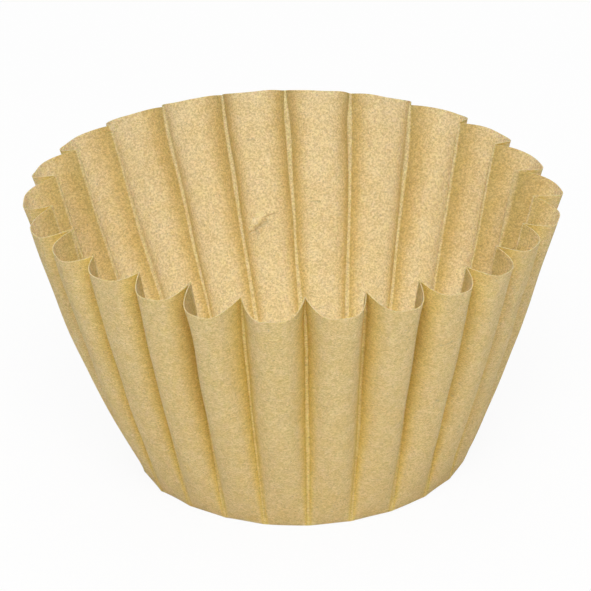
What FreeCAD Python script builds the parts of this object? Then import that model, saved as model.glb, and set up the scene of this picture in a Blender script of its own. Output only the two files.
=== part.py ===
"""A basket coffee filter: one round sheet of paper with its wall pressed into upright flutes.

Millimetres, +Z up. The origin is the middle of the flat base, on the surface it stands on.
Paper bends but doesn't stretch. So each line up the wall keeps the length that it has on the
flat sheet, and what it spends on the depth of a flute it loses in height. A flute has no depth
at its piece of the fold, gains it fast above the fold, and goes on gaining up to the cut edge.
The paper is limp: the mouth leans back from the middle of the base.
"""
import FreeCAD, Part
import math
import os

# Driving dimensions: alias, value, meaning
SIZES = [
    ("flute_count", "24", "flutes round the wall"),
    ("base_radius", "38", "middle of the base to the corners of the fold"),
    ("wall_length", "66.5", "fold to cut edge, along the paper"),
    ("rim_valley_radius", "54.5", "axis to the valley between two flutes, at the cut edge"),
    ("rim_flute_radius", "61", "axis to the front of a flute, at the cut edge"),
    ("mouth_lean", "5", "how much further from the axis the cut edge is at the back"),
    ("flute_squareness", "2.4", "a flute's curve: 2 is an ellipse, more is squarer"),
    ("depth_growth", "0.7", "how depth grows with height: 1 is evenly, less is faster at the fold"),
    ("paper_thickness", "0.2", "one sheet of filter paper"),
]
NODE = "filter"
# Flat strips across one flute, an even number
FLUTE_STRIPS = 10
# Where the strips bend, as shares of the way from the fold to the cut edge
BENDS = (0, 0.06, 0.18, 0.4, 0.7, 1)
# The first valley is at the back
FIRST_VALLEY_DEG = 90
FULL_TURN_DEG = 360

doc = FreeCAD.newDocument("coffee_filter")
sheet = doc.addObject("Spreadsheet::Sheet", "Sizes")
for row, (alias, value, meaning) in enumerate(SIZES, start=1):
    sheet.set(f"A{row}", meaning)
    sheet.set(f"B{row}", value)
    sheet.setAlias(f"B{row}", alias)
doc.recompute()

flute_count = int(sheet.flute_count)
base_radius = sheet.base_radius
wall_length = sheet.wall_length
valley_radius = sheet.rim_valley_radius
flute_radius = sheet.rim_flute_radius
mouth_lean = sheet.mouth_lean
squareness = sheet.flute_squareness
depth_growth = sheet.depth_growth
paper = sheet.paper_thickness

# Inside, two sheets meet in a ridge behind each valley, whose width keeps them one sheet thick
half_flute = math.pi / flute_count
half_ridge = paper * (1 - math.sin(half_flute)) / math.cos(half_flute)


def valley_direction(valley):
    """The level direction from the axis to a valley."""
    turn = math.radians(FIRST_VALLEY_DEG + FULL_TURN_DEG * valley / flute_count)
    return FreeCAD.Vector(math.cos(turn), math.sin(turn), 0)


def valley_point(valley, up):
    """A point of a valley seen from above; up is 0 at the fold and 1 at the cut edge."""
    outward = valley_direction(valley)
    rim_radius = valley_radius + mouth_lean * outward.y
    return outward * (base_radius + (rim_radius - base_radius) * up)


def flute_curve(strip):
    """A point of a flute's curve: across it from -1 to 1, and its depth from 0 to 1."""
    turn = math.pi * (strip / FLUTE_STRIPS - 0.5)
    across = math.copysign(abs(math.sin(turn)) ** (2 / squareness), turn)
    return across, abs(math.cos(turn)) ** (2 / squareness)


def flute_points(flute, up, inset):
    """A level cut through a flute seen from above: its outside, or its inside where inset."""
    left, right = valley_point(flute, up), valley_point(flute + 1, up)
    rim_middle = (valley_point(flute, 1) + valley_point(flute + 1, 1)) / 2
    outward = FreeCAD.Vector(rim_middle).normalize()
    along = (right - left).normalize()
    front = flute_radius + mouth_lean * outward.y - rim_middle.Length
    set_back = half_ridge if inset else 0
    half_width = (right - left).Length / 2 - (paper if inset else 0)
    deep = front * up ** depth_growth - (paper - half_ridge if inset else 0)
    points = []
    for strip in range(FLUTE_STRIPS + 1):
        across, depth = flute_curve(strip)
        point = (left + right) / 2 + along * (half_width * across)
        points.append(point + outward * (deep * depth - set_back))
    return points


def raised(plans, start_height):
    """A line up the wall, from its points seen from above. It keeps its length as it bends."""
    length = wall_length - start_height
    height = start_height
    points = [FreeCAD.Vector(plans[0].x, plans[0].y, height)]
    for step in range(1, len(plans)):
        along_paper = length * (BENDS[step] - BENDS[step - 1])
        height += math.sqrt(along_paper ** 2 - (plans[step] - plans[step - 1]).Length ** 2)
        points.append(FreeCAD.Vector(plans[step].x, plans[step].y, height))
    return points


def rows(plan_rows, start_height):
    """Rows of points across the wall at each bend, raised to their heights."""
    lines = [raised(plans, start_height) for plans in zip(*plan_rows)]
    return list(zip(*lines))


def outside_rows(flute):
    """The outside of a flute: a row of points from valley to valley at each bend."""
    return rows([flute_points(flute, up, False) for up in BENDS], 0)


def inside_rows(flute):
    """The inside of a flute, each row with the middle of a ridge at either end."""
    plan_rows = []
    for up in BENDS:
        ridges = [
            valley_point(valley, up) - valley_direction(valley) * paper
            for valley in (flute, flute + 1)
        ]
        plan_rows.append([ridges[0]] + flute_points(flute, up, True) + [ridges[1]])
    return rows(plan_rows, paper)


def flat_face(corners):
    """One flat face from its corners in order."""
    return Part.Face(Part.makePolygon(list(corners) + [corners[0]]))


def strip_faces(lower, upper):
    """Two flat faces for each step along two rows, the right half the mirror of the left."""
    faces = []
    steps = len(lower) - 1
    for step in range(steps):
        start, end = (step, step + 1) if step < steps / 2 else (step + 1, step)
        faces.append(flat_face([lower[start], lower[end], upper[end]]))
        faces.append(flat_face([lower[start], upper[end], upper[start]]))
    return faces


def foot_faces(left, right, upper):
    """The foot of a flute: flat faces from the two ends of its piece of the fold."""
    middle = len(upper) // 2
    faces = [flat_face([left, upper[middle], right])]
    for step in range(len(upper) - 1):
        foot = left if step < middle else right
        faces.append(flat_face([foot, upper[step], upper[step + 1]]))
    return faces


def ridge_faces(lower, upper):
    """The halves of two ridges, at the ends of two rows of the inside."""
    return strip_faces(lower[:2], upper[:2]) + strip_faces(lower[-2:][::-1], upper[-2:][::-1])


def flute_faces(outside, inside):
    """The faces of one flute: outside, inside and cut edge."""
    faces = foot_faces(outside[0][0], outside[0][-1], outside[1])
    faces += foot_faces(inside[0][1], inside[0][-2], inside[1][1:-1])
    faces += ridge_faces(inside[0], inside[1])
    for lower, upper in zip(outside[1:], outside[2:]):
        faces += strip_faces(lower, upper)
    for lower, upper in zip(inside[1:], inside[2:]):
        faces += strip_faces(lower, upper)
    outer_edge, inner_edge = outside[-1], inside[-1]
    faces += strip_faces(outer_edge, inner_edge[1:-1])
    faces.append(flat_face([outer_edge[0], inner_edge[0], inner_edge[1]]))
    faces.append(flat_face([outer_edge[-1], inner_edge[-1], inner_edge[-2]]))
    return faces


wall = []
fold_corners = []
floor_corners = []
for flute in range(flute_count):
    outside = outside_rows(flute)
    inside = inside_rows(flute)
    wall += flute_faces(outside, inside)
    fold_corners.append(outside[0][0])
    floor_corners += [inside[0][0], inside[0][1], inside[0][-2]]

skin = Part.Shell(wall + [flat_face(fold_corners), flat_face(floor_corners)])
skin.sewShape()
folded_sheet = Part.Solid(skin)
if folded_sheet.Volume < 0:
    folded_sheet.reverse()

# Folded paper is flat faces edge to edge, which no pad, loft or primitive makes: a loft gives
# each strip a curved face
filter_sheet = doc.addObject("Part::Feature", NODE)
filter_sheet.Label = NODE
filter_sheet.Shape = folded_sheet
filter_sheet.Placement = FreeCAD.Placement()
doc.recompute()

failed = [item.Name for item in doc.Objects if "Invalid" in item.State or "Error" in item.State]
if failed:
    raise RuntimeError(f"these objects failed: {failed}")
if filter_sheet.Shape.isNull() or not filter_sheet.Shape.isValid():
    raise RuntimeError(f"{NODE} has no valid shape")

os.makedirs("parts", exist_ok=True)
filter_sheet.Shape.exportStep(f"parts/{filter_sheet.Label}.step")
print(f"{NODE}: {filter_sheet.Shape.Volume:.1f} mm3, {len(filter_sheet.Shape.Faces)} faces")
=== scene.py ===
import math

import bmesh
import bpy
from mathutils import Matrix, Vector, noise
from mathutils.geometry import intersect_point_line


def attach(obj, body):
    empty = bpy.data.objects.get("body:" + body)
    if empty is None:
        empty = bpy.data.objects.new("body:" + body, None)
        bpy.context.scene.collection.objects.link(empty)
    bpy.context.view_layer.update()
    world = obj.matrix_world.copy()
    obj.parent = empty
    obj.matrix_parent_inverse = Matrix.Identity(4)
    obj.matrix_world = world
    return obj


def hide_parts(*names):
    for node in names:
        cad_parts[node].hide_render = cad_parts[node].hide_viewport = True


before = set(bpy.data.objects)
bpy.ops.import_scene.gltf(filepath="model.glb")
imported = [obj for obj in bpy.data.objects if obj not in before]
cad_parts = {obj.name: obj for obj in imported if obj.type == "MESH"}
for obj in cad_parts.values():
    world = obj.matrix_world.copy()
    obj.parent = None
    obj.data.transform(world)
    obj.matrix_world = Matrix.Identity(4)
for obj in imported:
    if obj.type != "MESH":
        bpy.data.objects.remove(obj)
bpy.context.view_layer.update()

MM = 0.001

# The sheet of paper, in millimetres
FLUTES = 24
BASE_RADIUS = 38.0
WALL_LENGTH = 66.5
VALLEY_RADIUS = 54.5
FRONT_RADIUS = 61.0
PAPER = 0.2

# The base was pressed a little off the middle of the sheet, so the wall is longer on the left
# and at the back than opposite. The cut edge wavers, by this much over a wave this long
LONGER_LEFT = 2.6
LONGER_BACK = 0.9
CUT_WAVER = 0.25
CUT_WAVE_LENGTH = 4.0

# The curve across a flute: how flat its front is at the fold and at the rim, how steep its
# sides are, and how fast it deepens above the fold
FLAT_AT_FOLD = 2.4
FLAT_AT_RIM = 3.7
STEEP_SIDES = 1.2
DEPTH_GROWTH = 0.7
# How far a flute's front leans to one side or the other, in millimetres, and how often that
# changes up the wall
FRONT_SKEW = 0.6
SKEW_WAVES = 2.0

# The bottom of a valley is pressed into a narrow flat strip: its width in millimetres, how
# uneven that is, and how often it changes up the wall
STRIP_WIDTH = 0.68
STRIP_UNEVEN = 1.0
STRIP_WAVES = 3.0
# At the cut edge it has this share of its width, and below it gains a full width over this
# share of the wall. The strips take at most this share of a flute
STRIP_AT_RIM = 0.25
STRIP_TAPER = 0.12
STRIP_AT_MOST = 0.12
# The band of painted shade and painted highlight beside a valley: the share of its full width that
# it has at the fold, and how it widens up the wall, where 1 is evenly and less is faster at the
# fold
BAND_AT_BASE = 0.2
BAND_GROWTH = 0.7

# Short marks on the paper: two ends, how wide to either side and how high in millimetres, and the
# painted highlight or painted shade that each multiplies into the paper's colour. Below 0 is
# pressed in
# Painted light: PAINTED_HIGHLIGHT is a painted highlight, PAINTED_SHADOW a painted shadow,
# PAINTED_SLIT_SHADE the painted shade inside a slit
PAINTED_HIGHLIGHT, PAINTED_SHADOW, PAINTED_SLIT_SHADE = (1.09, 1.09, 1.09), (0.76, 0.80, 0.84), (0.78, 0.74, 0.66)
INSIDE_MARKS = [
    ((-10.0, 52.5, 32.2), (-8.4, 53.4, 33.6), 1.5, 0.4, PAINTED_HIGHLIGHT),
    ((-9.9, 52.0, 31.0), (-7.3, 53.6, 32.2), 0.9, -0.1, PAINTED_SHADOW),
    ((-9.7, 52.1, 30.2), (-9.7, 51.8, 28.6), 0.8, -0.1, PAINTED_SHADOW),
    ((-7.4, 53.7, 33.3), (-5.4, 54.2, 33.9), 0.35, -0.15, PAINTED_SLIT_SHADE),
    ((-11.4, 50.7, 30.9), (-9.9, 51.9, 30.7), 0.35, -0.15, PAINTED_SLIT_SHADE),
    ((3.2, 55.0, 36.3), (5.6, 55.1, 36.1), 0.4, -0.1, PAINTED_SHADOW),
    ((-11.2, 60.8, 50.8), (-9.5, 61.1, 50.6), 0.4, 0.1, PAINTED_SHADOW),
]
OUTSIDE_MARKS = [
    ((-12.5, -43.1, 27.5), (-13.1, -42.9, 23.6), 0.5, 0.15, PAINTED_HIGHLIGHT),
    ((-8.0, -56.0, 57.8), (-5.0, -56.1, 57.8), 0.5, 0.15, PAINTED_HIGHLIGHT),
    ((29.6, -38.9, 31.6), (33.5, -30.9, 28.4), 0.6, -0.2, PAINTED_SHADOW),
    ((30.7, -43.1, 47.9), (33.4, -42.2, 48.2), 0.4, -0.1, PAINTED_SHADOW),
]

# A small pinch in the wall at the back, raised towards the middle of the cup: its two ends, how
# wide it is to either side and how high
PINCH_START = Vector((-10.9, 51.6, 31.1))
PINCH_END = Vector((-6.6, 54.0, 33.4))
PINCH_REACH = 2.2
PINCH_HEIGHT = 0.4

# How far a valley's line wanders to the sides, in millimetres, and how often up the wall
VALLEY_WANDER = 0.55
WANDER_WAVES = 4.0
# How far the wall bows out halfway up, and how much more so on the left, in millimetres
WALL_BOW = 0.6
BOW_MORE_LEFT = 0.5
# How uneven the pressed wall is, in millimetres, and in how many waves per millimetre
UNEVEN = 0.35
UNEVEN_WAVES = 0.07
# Places in the noise, so that no two valleys or flutes are uneven in the same way
WANDER_APART = 7.3
STRIP_APART = 5.1
STRIP_LAYER = 2.0
SKEW_APART = 3.1
SKEW_LAYER = 5.0

# How the limp cup stands: its mouth leans back and a little to the left, and mouth and base are
# each turned a little
LEAN_BACK = 5.0
LEAN_RIGHT = -1.1
MOUTH_TURN_DEG = 1.5
BASE_TURN_DEG = -0.6

# Mesh: divisions of one flute, how many of them are in each half of a strip, rings up the wall
# and across the base, and the radius of the hub that the base's rings start from
PER_FLUTE = 34
STRIP_STEPS = 1
WALL_RINGS = 44
BASE_RINGS = 5
BASE_HUB = 6.0
# Each point of the mesh keeps its distance from the nearest valley under this name
FOLD_DISTANCE = "from_fold"

# The first valley is at the back, and the count runs over the left side to the front
FIRST_VALLEY_DEG = 90.0
FLUTE_DEG = 360.0 / FLUTES

# No two flutes of the limp cup are alike. In millimetres: each valley's shift along the rim, how
# much further out it lies there, and how much further out each flute's front is. They come from
# a fit to points picked in the photograph, and only some were then changed
VALLEY_SHIFT = [
    0.0, -0.4, -0.3, 0.0, 1.0, 0.7, 2.0, 1.4, 0.8, 0.0, -0.8, -1.3,
    -0.3, 0.7, 0.9, 0.6, -0.4, -0.6, 0.0, -1.1, -0.6, -0.6, -0.3, 0.0,
]
VALLEY_DEPTH = [
    1.5, 0.7, -0.3, 0.9, -0.6, 0.0, 0.5, -0.6, 1.5, 0.0, -1.4, 0.8,
    0.0, -0.4, -0.5, 0.5, -0.4, 0.5, 0.9, -2.0, -1.4, -0.9, 0.0, 1.5,
]
FRONT_DEPTH = [
    0.0, 0.0, -0.5, 1.0, 0.9, 0.7, 1.1, -0.2, -0.2, 0.3, 1.3, 1.5,
    0.8, 0.9, 0.7, 0.4, 0.2, 1.3, 0.7, 0.6, 0.2, 0.5, 0.0, 0.0,
]
# The base reaches further out at a few corners on its left, in millimetres
CORNER_OUT = {6: 0.5, 7: 1.3, 8: 1.2, 9: 0.3}


def direction(degrees):
    """A level unit vector at an angle from +X."""
    return Vector((math.cos(math.radians(degrees)), math.sin(math.radians(degrees)), 0.0))


def fold_corner(valley):
    """Where a valley meets the fold round the base."""
    radius = BASE_RADIUS + CORNER_OUT.get(valley % FLUTES, 0.0)
    return direction(FIRST_VALLEY_DEG + BASE_TURN_DEG + FLUTE_DEG * valley) * radius


def lean(outward):
    """How far the leaning mouth moves in a direction."""
    return LEAN_RIGHT * outward.x + LEAN_BACK * outward.y


def rim_valley(valley):
    """The bottom of a valley at the cut edge, seen from above."""
    number = valley % FLUTES
    degrees = FIRST_VALLEY_DEG + MOUTH_TURN_DEG + FLUTE_DEG * valley
    outward = direction(degrees + math.degrees(VALLEY_SHIFT[number] / VALLEY_RADIUS))
    return outward * (VALLEY_RADIUS + VALLEY_DEPTH[number] + lean(outward))


def valley_point(valley, up):
    """A point of a valley seen from above; up is 0 at the fold and 1 at the cut edge."""
    point = fold_corner(valley).lerp(rim_valley(valley), up)
    outward = point.normalized()
    sideways = Vector((-outward.y, outward.x, 0.0))
    wander = noise.noise(Vector((WANDER_APART * (valley % FLUTES), WANDER_WAVES * up, 0.0)))
    bow = WALL_BOW - BOW_MORE_LEFT * outward.x
    return point + outward * bow * math.sin(math.pi * up) + sideways * VALLEY_WANDER * wander * up


def strip_width(valley, up):
    """How wide the flat strip in a valley is."""
    read_at = Vector((STRIP_LAYER, STRIP_APART * (valley % FLUTES), STRIP_WAVES * up))
    uneven = 1 + STRIP_UNEVEN * noise.noise(read_at)
    return STRIP_WIDTH * uneven * min(1.0, STRIP_AT_RIM + (1 - up) / STRIP_TAPER)


def fold_band(up):
    """The share of its full width that a fold's band of painted shade and highlight has: less
    towards the base.
    """
    return BAND_AT_BASE + (1 - BAND_AT_BASE) * up ** BAND_GROWTH


def flute_curve(part, up, strip):
    """Across a flute (-1 to 1) and its depth there (0 to 1), between two halves of flat strips."""
    side = 2 * part - 1
    strip_share = 2 * STRIP_STEPS / PER_FLUTE
    if abs(side) > 1 - strip_share:
        return math.copysign(1 - strip * (1 - abs(side)) / strip_share, side), 0.0
    across = math.sin(side / (1 - strip_share) * math.pi / 2)
    flat = FLAT_AT_FOLD + (FLAT_AT_RIM - FLAT_AT_FOLD) * up ** 2
    depth = max(0.0, 1 - abs(across) ** flat) ** (1 / STEEP_SIDES)
    return across * (1 - strip), depth


def wall_plan(flute, part, up):
    """A point of the wall seen from above."""
    left, right = valley_point(flute, up), valley_point(flute + 1, up)
    along = (right - left).normalized()
    outward = Vector((along.y, -along.x, 0.0))
    half_width = (right - left).length / 2
    strip = strip_width(flute + round(part), up) / 2 / half_width
    across, depth = flute_curve(part, up, min(strip, STRIP_AT_MOST))
    rim_middle = (rim_valley(flute) + rim_valley(flute + 1)) / 2
    full = FRONT_RADIUS + FRONT_DEPTH[flute] + lean(outward) - rim_middle.length
    skew = FRONT_SKEW * noise.noise(Vector((SKEW_APART * flute, SKEW_WAVES * up, SKEW_LAYER)))
    point = (left + right) / 2 + along * (across * half_width + skew * depth)
    swell = UNEVEN * noise.noise(Vector((point.x, point.y, WALL_LENGTH * up)) * UNEVEN_WAVES)
    return point + outward * depth * (full * up ** DEPTH_GROWTH + swell)


def wall_column(flute, part):
    """One line up the wall, from the fold to the cut edge. It keeps its length as it bends."""
    point = wall_plan(flute, part, 0.0)
    outward = direction(FIRST_VALLEY_DEG + FLUTE_DEG * (flute + part))
    waver = noise.noise(outward * FRONT_RADIUS / CUT_WAVE_LENGTH)
    length = WALL_LENGTH + LONGER_BACK * outward.y - LONGER_LEFT * outward.x + CUT_WAVER * waver
    step = length / WALL_RINGS
    column = [point.copy()]
    height = 0.0
    for ring in range(1, WALL_RINGS + 1):
        further = wall_plan(flute, part, ring / WALL_RINGS)
        height += math.sqrt(max(step ** 2 - (further - point).length_squared, 0.0))
        point = further
        column.append(Vector((point.x, point.y, height)))
    return column


def pinched(point):
    """A point of the wall, moved where the small pinch raises it."""
    share = intersect_point_line(point, PINCH_START, PINCH_END)[1]
    nearest = PINCH_START.lerp(PINCH_END, min(max(share, 0.0), 1.0))
    away = min((point - nearest).length / PINCH_REACH, 1.0)
    return point - Vector((0, PINCH_HEIGHT * (1 - away ** 2) ** 2, 0))


def flat_sheet():
    """The sheet before it is pressed: a small hub, and rings out to the fold and the cut edge."""
    bm = bmesh.new()
    bm.verts.layers.float.new(FOLD_DISTANCE)
    around = FLUTES * PER_FLUTE
    hub = bmesh.ops.create_circle(bm, cap_ends=True, segments=around, radius=BASE_HUB)["verts"]
    turn = Matrix.Rotation(math.radians(FIRST_VALLEY_DEG), 3, "Z")
    bmesh.ops.rotate(bm, verts=hub, cent=(0, 0, 0), matrix=turn)
    rings = [hub]
    across_base = BASE_RADIUS - BASE_HUB
    reaches = [BASE_HUB + across_base * (n + 1) / BASE_RINGS for n in range(BASE_RINGS)]
    reaches += [BASE_RADIUS + WALL_LENGTH * (n + 1) / WALL_RINGS for n in range(WALL_RINGS)]
    reach = BASE_HUB
    for further in reaches:
        edges = [edge for edge in bm.edges if edge.is_boundary]
        made = bmesh.ops.extrude_edge_only(bm, edges=edges)["geom"]
        ring = [item for item in made if isinstance(item, bmesh.types.BMVert)]
        scale = further / reach
        bmesh.ops.scale(bm, vec=(scale, scale, 1), verts=ring)
        rings.append(ring)
        reach = further
    return bm, rings


def press(bm, rings):
    """Folds the flat sheet up round the base and presses the flutes into its wall.

    For the painted shade and highlight at the folds, each point of the wall keeps how far aside it
    is from the strip in the nearest valley, in millimetres where that band of painted light has its
    full width, and more where it is narrower.
    """
    from_fold = bm.verts.layers.float[FOLD_DISTANCE]
    columns = [
        wall_column(flute, part / PER_FLUTE) for flute in range(FLUTES) for part in range(PER_FLUTE)
    ]
    sharp = set()
    for number, ring in enumerate(rings):
        for vert in ring:
            degrees = math.degrees(math.atan2(vert.co.y, vert.co.x)) - FIRST_VALLEY_DEG
            step = round(degrees % 360 / FLUTE_DEG * PER_FLUTE) % len(columns)
            if number < BASE_RINGS:
                share = vert.co.length / BASE_RADIUS
                vert.co = vert.co.lerp(columns[step][0] * share, share ** 2)
                vert[from_fold] = BASE_RADIUS
                continue
            place = number - BASE_RINGS
            valley = round(step / PER_FLUTE) % FLUTES
            bottom = columns[valley * PER_FLUTE][place]
            sideways = Vector((-bottom.y, bottom.x, 0.0)).normalized()
            aside = abs((columns[step][place] - bottom).dot(sideways))
            vert.co = pinched(columns[step][place])
            up = place / WALL_RINGS
            vert[from_fold] = max(aside - strip_width(valley, up) / 2, 0.0) / fold_band(up)
            if place in (0, WALL_RINGS):
                sharp.add(vert)
    for edge in bm.edges:
        start, end = edge.verts
        edge.smooth = not (start in sharp and end in sharp)
    for vert in bm.verts:
        vert.co = (vert.co + Vector((0, 0, PAPER / 2))) * MM


def paper_filter():
    """The filter: one sheet, pressed to shape and given the thickness of paper."""
    bm, rings = flat_sheet()
    press(bm, rings)
    bmesh.ops.recalc_face_normals(bm, faces=bm.faces)
    mesh = bpy.data.meshes.new("folded_sheet")
    bm.to_mesh(mesh)
    bm.free()
    for face in mesh.polygons:
        face.use_smooth = True
    sheet = bpy.data.objects.new("folded_sheet", mesh)
    bpy.context.scene.collection.objects.link(sheet)
    solid = sheet.modifiers.new("paper_thickness", "SOLIDIFY")
    solid.thickness = PAPER * MM
    solid.offset = 0
    # The faces of the mesh have the first material, the other side the next, and the cut edge
    # the last
    solid.material_offset = 1
    solid.material_offset_rim = 2
    sheet.data.materials.append(outside_paper())
    sheet.data.materials.append(inside_paper())
    sheet.data.materials.append(cut_edge())
    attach(sheet, "root")
    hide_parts("filter")


def colour_ramp(nodes, stops):
    """A ramp from a list of positions and colours."""
    ramp = nodes.new("ShaderNodeValToRGB")
    elements = ramp.color_ramp.elements
    while len(elements) < len(stops):
        elements.new(0.5)
    for element, (position, colour) in zip(elements, stops):
        element.position = position
        element.color = (*colour, 1)
    return ramp


def fibres(nodes, links, per_metre, curl, detail):
    """Fine marks of pressed fibre, with their size and how much they curl."""
    place = nodes.new("ShaderNodeTexCoord")
    stretch = nodes.new("ShaderNodeMapping")
    stretch.inputs["Scale"].default_value = per_metre
    links.new(place.outputs["Object"], stretch.inputs["Vector"])
    marks = nodes.new("ShaderNodeTexNoise")
    marks.inputs["Scale"].default_value = 1.0
    marks.inputs["Detail"].default_value = detail
    marks.inputs["Distortion"].default_value = curl
    links.new(stretch.outputs["Vector"], marks.inputs["Vector"])
    return marks.outputs["Fac"]


def blended(nodes, links, kind, share, first, second):
    """One colour blended with another."""
    blend = nodes.new("ShaderNodeMix")
    blend.data_type = "RGBA"
    blend.blend_type = kind
    for socket, value in (("Factor", share), ("A", first), ("B", second)):
        if isinstance(value, bpy.types.NodeSocket):
            links.new(value, blend.inputs[socket])
        else:
            blend.inputs[socket].default_value = value
    return blend.outputs["Result"]


def reckoned(nodes, links, kind, operation, *values):
    """The result of a sum on numbers or vectors, each given or taken from a node."""
    node = nodes.new(kind)
    node.operation = operation
    for socket, value in zip(node.inputs, values):
        if isinstance(value, bpy.types.NodeSocket):
            links.new(value, socket)
        else:
            socket.default_value = value
    return node


def nearness(nodes, links, start, end, reach):
    """How near a point is to a short line on the paper: 1 on the line and 0 beyond its reach."""
    first, along = Vector(start) * MM, (Vector(end) - Vector(start)) * MM
    place = nodes.new("ShaderNodeTexCoord").outputs["Object"]
    vector = "ShaderNodeVectorMath"
    away = reckoned(nodes, links, vector, "SUBTRACT", place, first).outputs["Vector"]
    per_length = along / along.length_squared
    share = reckoned(nodes, links, vector, "DOT_PRODUCT", away, per_length)
    between_ends = nodes.new("ShaderNodeClamp")
    links.new(share.outputs["Value"], between_ends.inputs["Value"])
    foot = reckoned(nodes, links, vector, "MULTIPLY", between_ends.outputs["Result"], along)
    aside = reckoned(nodes, links, vector, "SUBTRACT", away, foot.outputs["Vector"])
    distance = reckoned(nodes, links, vector, "LENGTH", aside.outputs["Vector"])
    fade = nodes.new("ShaderNodeMapRange")
    fade.interpolation_type = "SMOOTHSTEP"
    fade.inputs["From Max"].default_value = reach * MM
    fade.inputs["To Min"].default_value = 1.0
    fade.inputs["To Max"].default_value = 0.0
    links.new(distance.outputs["Value"], fade.inputs["Value"])
    return fade.outputs["Result"]


# The painted shade and highlight at the folds reach up to this many millimetres to either side of
# their strips at the cut edge, and less below it
FOLD_REACH = 6.0
# The depth of the fibre marks, in millimetres
FIBRE_DEPTH = 0.1
# Light glows through the thin paper: the share of it, and how far red, green and blue reach in
# millimetres
GLOW_SHARE = 0.4
GLOW_REACH = (0.8, 0.45, 0.15)
PAPER_ROUGHNESS = 0.85
PAPER_SHINE = 0.2
# Fine detail of the fibre marks
FIBRE_DETAIL = 3
# Broad clouds and small dark specks in the paper: how many per metre, how much the clouds curl,
# the detail of each, and how they shade it
WHITE = (1.0, 1.0, 1.0)
CLOUDS = (260, 260, 260)
CLOUD_CURL = 0.6
CLOUD_DETAIL = 2
CLOUD_SHADES = [(0.35, (0.97, 0.96, 0.88)), (0.65, WHITE)]
SPECKS = (2300, 2300, 2300)
SPECK_DETAIL = 1
SPECK_SHADES = [(0.64, WHITE), (0.76, (0.72, 0.74, 0.80))]


def paper(name, tones, grain, curl, painted_fold_light, relief, marks):
    """Unbleached paper with fine fibre marks, and painted shade and highlight at the folds and at a
    few dents and slits.

    The fibre marks have the grain's count per metre along each axis, curl, and run through the
    tones from low to high. Relief is their height, as a share of the depth of a mark.
    """
    material = bpy.data.materials.new(name)
    material.use_nodes = True
    nodes, links = material.node_tree.nodes, material.node_tree.links
    surface = nodes["Principled BSDF"]
    surface.inputs["Roughness"].default_value = PAPER_ROUGHNESS
    surface.inputs["Specular IOR Level"].default_value = PAPER_SHINE
    surface.inputs["Subsurface Weight"].default_value = GLOW_SHARE
    surface.inputs["Subsurface Radius"].default_value = GLOW_REACH
    surface.inputs["Subsurface Scale"].default_value = MM
    fine = fibres(nodes, links, grain, curl, FIBRE_DETAIL)
    broad = fibres(nodes, links, CLOUDS, CLOUD_CURL, CLOUD_DETAIL)
    specks = fibres(nodes, links, SPECKS, 0.0, SPECK_DETAIL)
    tone = colour_ramp(nodes, tones)
    links.new(fine, tone.inputs["Fac"])
    cloud = colour_ramp(nodes, CLOUD_SHADES)
    links.new(broad, cloud.inputs["Fac"])
    colour = blended(nodes, links, "MULTIPLY", 1.0, tone.outputs["Color"], cloud.outputs["Color"])
    dark = colour_ramp(nodes, SPECK_SHADES)
    links.new(specks, dark.inputs["Fac"])
    colour = blended(nodes, links, "MULTIPLY", 1.0, colour, dark.outputs["Color"])
    distance = nodes.new("ShaderNodeAttribute")
    distance.attribute_name = FOLD_DISTANCE
    near = reckoned(nodes, links, "ShaderNodeMath", "DIVIDE", distance.outputs["Fac"], FOLD_REACH)
    # The folds' painted light: a painted highlight along each fold's strip, and painted golden
    # shade in the bands beside it
    fold_light = colour_ramp(nodes, painted_fold_light)
    links.new(near.outputs[0], fold_light.inputs["Fac"])
    colour = blended(nodes, links, "MULTIPLY", 1.0, colour, fold_light.outputs["Color"])
    depth = relief * FIBRE_DEPTH
    height = reckoned(nodes, links, "ShaderNodeMath", "MULTIPLY", fine, depth).outputs[0]
    # Each mark raises or presses in the paper, and its painted highlight or painted shade
    # multiplies the colour
    for start, end, reach, rise, painted_mark_light in marks:
        on_mark = nearness(nodes, links, start, end, reach)
        raised = reckoned(nodes, links, "ShaderNodeMath", "MULTIPLY_ADD", on_mark, rise, height)
        height = raised.outputs[0]
        colour = blended(nodes, links, "MULTIPLY", on_mark, colour, (*painted_mark_light, 1.0))
    links.new(colour, surface.inputs["Base Color"])
    bump = nodes.new("ShaderNodeBump")
    bump.inputs["Strength"].default_value = 1.0
    bump.inputs["Distance"].default_value = MM
    links.new(height, bump.inputs["Height"])
    links.new(bump.outputs["Normal"], surface.inputs["Normal"])
    return material


def outside_paper():
    """The outside: curly, mostly level marks, and painted golden shade in the valleys beside a
    painted highlight on the strip of fold.
    """
    tones = [(0.40, (0.62, 0.48, 0.21)), (0.5, (0.75, 0.58, 0.28)), (0.60, (0.88, 0.69, 0.37))]
    # Painted highlight on each fold's strip, then painted golden shade beside it, fading out
    fold_light = [
        (0.0, (1.12, 1.10, 0.92)),
        (0.01, (1.10, 1.07, 0.88)),
        (0.025, (0.93, 0.90, 0.54)),
        (0.06, (1.01, 0.97, 0.61)),
        (0.16, (1.02, 0.98, 0.70)),
        (0.32, (1.02, 1.0, 0.88)),
        (0.5, WHITE),
    ]
    grain = (1200, 1200, 2600)
    return paper(
        "paper_outside", tones, grain, curl=2.0, painted_fold_light=fold_light, relief=2.0, marks=OUTSIDE_MARKS
    )


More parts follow.
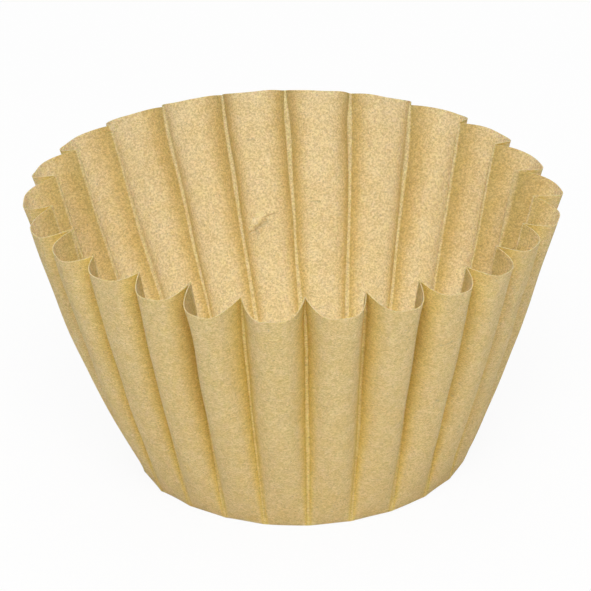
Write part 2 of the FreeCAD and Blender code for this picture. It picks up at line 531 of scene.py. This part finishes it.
def inside_paper():
    """The inside: round speckle, and painted highlights on the ridges between bands of painted
    golden shade.
    """
    # These tones are painted paler and less golden than the outside's, standing in for how light
    # falls inside the cup
    tones = [(0.40, (0.66, 0.53, 0.31)), (0.5, (0.79, 0.64, 0.39)), (0.60, (0.92, 0.76, 0.49))]
    # Painted highlight on each ridge, then painted golden shade beside it, fading out
    fold_light = [
        (0.0, (1.03, 1.01, 0.90)),
        (0.01, (1.01, 0.99, 0.87)),
        (0.025, (0.83, 0.79, 0.52)),
        (0.25, (0.92, 0.87, 0.66)),
        (0.45, (0.96, 0.94, 0.83)),
        (0.7, (0.99, 0.98, 0.95)),
        (1.0, (1.01, 1.01, 1.01)),
    ]
    grain = (2100, 2100, 2500)
    return paper(
        "paper_inside", tones, grain, curl=0.8, painted_fold_light=fold_light, relief=1.6, marks=INSIDE_MARKS
    )


def cut_edge():
    """The cut edge: nearly smooth, and without painted shade or highlight at the folds."""
    tones = [(0.38, (0.60, 0.46, 0.24)), (0.62, (0.78, 0.62, 0.36))]
    even = [(0.0, WHITE), (1.0, WHITE)]
    grain = (2700, 2700, 2700)
    return paper("paper_edge", tones, grain, curl=0.5, painted_fold_light=even, relief=0.2, marks=[])


# A hair's gap, in millimetres, keeps the floor and the base of the cup from lying in one plane
FLOOR_GAP = 0.1
# The floor's size, in metres, and its colour. The camera sees plain white in place of this share
# of what the floor shows, which leaves only a soft shadow
FLOOR_SIZE = 3.0
FLOOR_COLOUR = (0.85, 0.85, 0.85, 1)
FLOOR_ROUGHNESS = 0.9
FLOOR_WHITE_SHARE = 0.93


def studio_floor():
    """A plain white floor that keeps a soft shadow."""
    bm = bmesh.new()
    bmesh.ops.create_grid(bm, x_segments=1, y_segments=1, size=FLOOR_SIZE)
    bmesh.ops.translate(bm, verts=bm.verts, vec=(0, 0, -FLOOR_GAP * MM))
    mesh = bpy.data.meshes.new("floor")
    bm.to_mesh(mesh)
    bm.free()
    floor = bpy.data.objects.new("floor", mesh)
    bpy.context.scene.collection.objects.link(floor)
    material = bpy.data.materials.new("white_floor")
    material.use_nodes = True
    nodes, links = material.node_tree.nodes, material.node_tree.links
    paint = nodes["Principled BSDF"]
    paint.inputs["Base Color"].default_value = FLOOR_COLOUR
    paint.inputs["Roughness"].default_value = FLOOR_ROUGHNESS
    paint.inputs["Specular IOR Level"].default_value = 0.0
    glow = nodes.new("ShaderNodeEmission")
    glow.inputs["Color"].default_value = (*WHITE, 1)
    seen = nodes.new("ShaderNodeLightPath").outputs["Is Camera Ray"]
    share = reckoned(nodes, links, "ShaderNodeMath", "MULTIPLY", seen, FLOOR_WHITE_SHARE)
    blend = nodes.new("ShaderNodeMixShader")
    links.new(share.outputs[0], blend.inputs["Fac"])
    links.new(paint.outputs[0], blend.inputs[1])
    links.new(glow.outputs[0], blend.inputs[2])
    links.new(blend.outputs[0], nodes["Material Output"].inputs["Surface"])
    mesh.materials.append(material)


# The lamps point at the middle of the cup, at this height in metres
LAMP_AIM = 0.033
# The strength of the even light that comes from all around
ROOM_LIGHT = 0.23


def soft_box(name, place, size, watts):
    """A large soft lamp that points at the middle of the cup."""
    lamp = bpy.data.lights.new(name, "AREA")
    lamp.size = size
    lamp.energy = watts
    box = bpy.data.objects.new(name, lamp)
    box.location = place
    towards = Vector((0, 0, LAMP_AIM)) - Vector(place)
    box.rotation_euler = towards.to_track_quat("-Z", "Y").to_euler()
    bpy.context.scene.collection.objects.link(box)


def studio_light():
    """Soft light from the front, weaker ones from above and behind, and an even pale room."""
    world = bpy.data.worlds.new("pale_room")
    world.use_nodes = True
    room = world.node_tree.nodes["Background"]
    room.inputs["Color"].default_value = (*WHITE, 1)
    room.inputs["Strength"].default_value = ROOM_LIGHT
    bpy.context.scene.world = world
    soft_box("front_top", (0.0, -0.7, 0.87), size=0.6, watts=7.9)
    soft_box("top", (0.0, -0.05, 1.1), size=0.9, watts=3.2)
    soft_box("back_top", (0.0, 0.75, 0.7), size=0.6, watts=2.1)


# How far the camera looks down and its roll, its distance in metres from a point at this height
# in the cup, and its lens and sensor in millimetres
LOOK_DOWN_DEG = 27.86
ROLL_DEG = 2.445
DISTANCE = 1.09
MID_HEIGHT = 0.0322
LENS = 286.0
SENSOR = 36.0
# The photograph is centred a little left of that point and above it, in metres
AIM_LEFT = 0.0014
AIM_UP = 0.0064


def camera():
    """A long lens that looks down into the cup, turned a little on its own axis."""
    down = math.radians(LOOK_DOWN_DEG)
    roll = math.radians(ROLL_DEG)
    forward = Vector((0, math.cos(down), -math.sin(down)))
    right = Vector((1, 0, 0))
    up = Vector((0, math.sin(down), math.cos(down)))
    side = right * math.cos(roll) - up * math.sin(roll)
    top = right * math.sin(roll) + up * math.cos(roll)
    target = Vector((0, 0, MID_HEIGHT))
    place = target - forward * DISTANCE
    aim = target - side * AIM_LEFT + top * AIM_UP
    back = (place - aim).normalized()
    side = top.cross(back).normalized()
    top = back.cross(side)
    view = bpy.data.cameras.new("camera")
    view.lens = LENS
    view.sensor_width = SENSOR
    viewer = bpy.data.objects.new("camera", view)
    turned = Matrix((side, top, back)).transposed().to_4x4()
    viewer.matrix_world = Matrix.Translation(place) @ turned
    bpy.context.scene.collection.objects.link(viewer)
    bpy.context.scene.camera = viewer


bpy.context.scene.view_settings.view_transform = "Standard"
camera()
paper_filter()
studio_floor()
studio_light()
